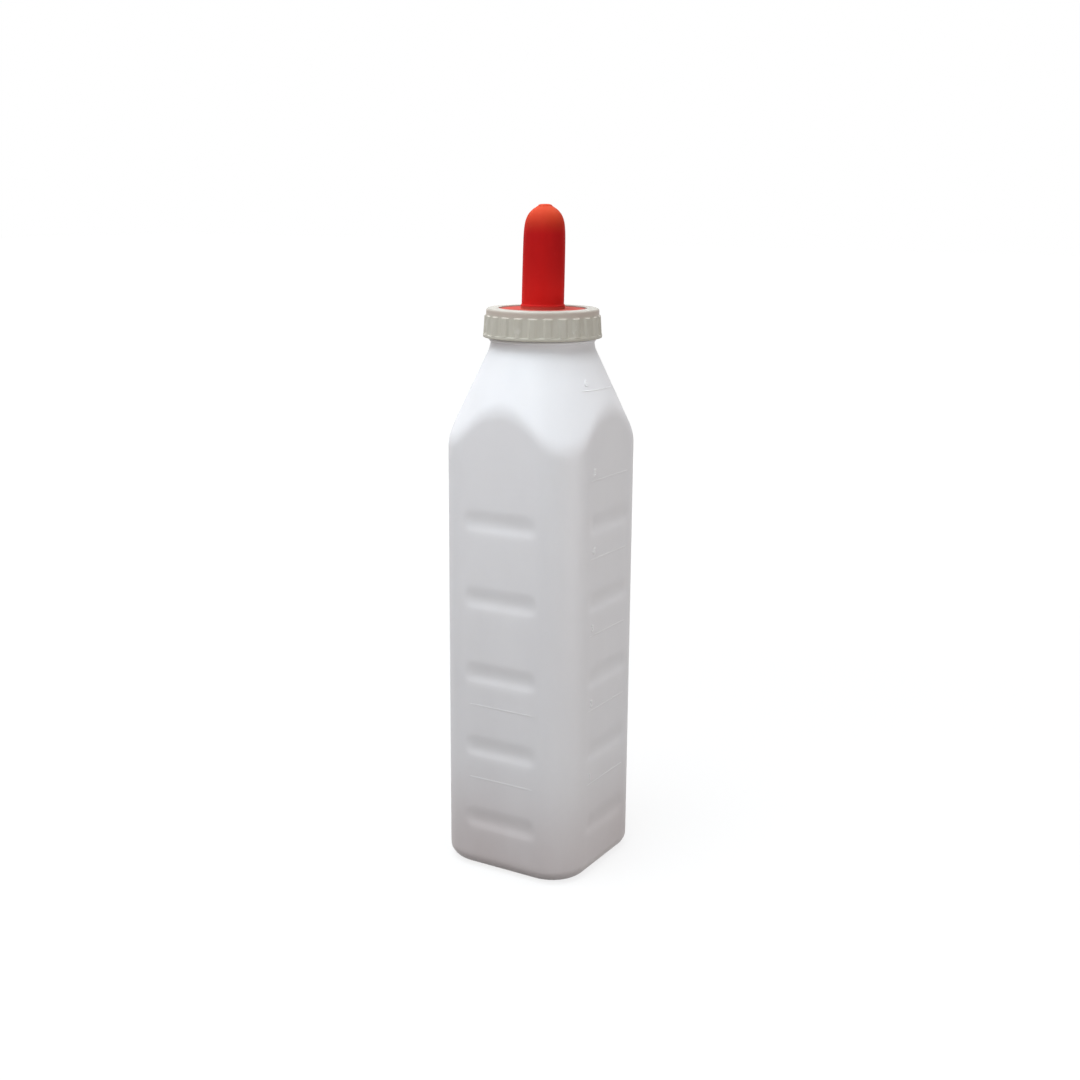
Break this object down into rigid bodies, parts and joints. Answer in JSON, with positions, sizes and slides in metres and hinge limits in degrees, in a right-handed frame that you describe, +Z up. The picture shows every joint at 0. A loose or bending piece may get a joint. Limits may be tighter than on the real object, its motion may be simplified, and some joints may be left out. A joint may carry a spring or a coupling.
{
  "type": "livestock nursing bottle",
  "caption": "Tall square milk bottle with finger grips and raised level lines, closed by a screw ring that holds a rubber teat.",
  "frame": {"origin": "centre of the foot, on the surface that the bottle stands on", "axes": "+Z up along the bottle's axis to the teat's tip; +X out of the graduated face; -Y out of the plain front face"},
  "size_m": [0.1024, 0.1024, 0.4361],
  "materials": {
    "bottle_plastic": "milky blown polyethylene, soft sheen",
    "ring_plastic": "off-white moulded plastic, satin",
    "nipple_rubber": "red natural rubber, satin"
  },
  "bodies": {
    "bottle": {"bottle": "bottle_plastic"},
    "nipple": {"nipple": "nipple_rubber"},
    "cap_ring": {"cap_ring": "ring_plastic"}
  },
  "joints": [
    {"name": "closure_lift", "type": "slide", "parent": "bottle", "child": "nipple", "axis": [0, 0, 1], "range_m": [0, 0.00636]},
    {"name": "cap_turn", "type": "hinge", "parent": "nipple", "child": "cap_ring", "pos_m": [0, 0, 0.36637], "axis": [0, 0, 1], "range_deg": [0, 450]}
  ],
  "couplings": [
    {"joint": "closure_lift", "follows": "cap_turn", "m_per_rad": 0.00080851}
  ]
}
